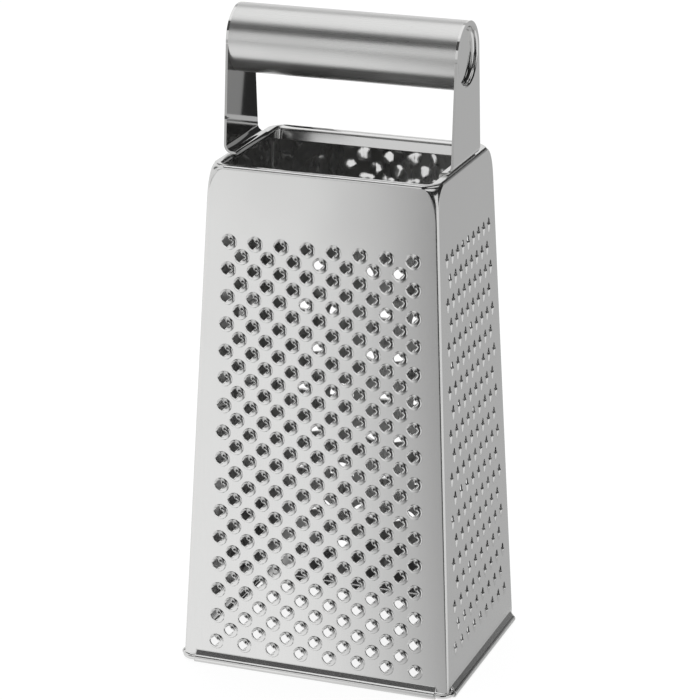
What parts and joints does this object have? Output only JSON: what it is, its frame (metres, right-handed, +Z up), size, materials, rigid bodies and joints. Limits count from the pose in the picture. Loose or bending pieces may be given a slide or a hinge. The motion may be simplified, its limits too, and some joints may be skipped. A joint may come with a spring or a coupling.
{
  "type": "box grater",
  "caption": "Four-sided tapered box grater of stainless sheet, open at top and bottom, with rolled foot hems and a round tube handle on two pressed straps.",
  "frame": {"origin": "middle of the footprint, on the surface that the grater stands on", "axes": "+Z up, +X along the handle towards the fine wall, -Y out of the medium wall"},
  "size_m": [0.1096, 0.0831, 0.245],
  "materials": {
    "body_sheet": "stainless sheet, bright rolled finish with a faint vertical grain outside and a mirror-like inside",
    "foot_wire": "bright drawn stainless wire",
    "handle_tube": "stainless tube brushed round and lengthwise, satin",
    "handle_straps": "pressed stainless sheet, semi-bright"
  },
  "bodies": {
    "root": {"front_wall_medium": "body_sheet", "right_wall_fine": "body_sheet", "back_wall_coarse": "body_sheet", "left_wall_slicer": "body_sheet", "base_wire": "foot_wire", "handle_tube": "handle_tube", "right_strap": "handle_straps", "left_strap": "handle_straps"}
  },
  "joints": []
}
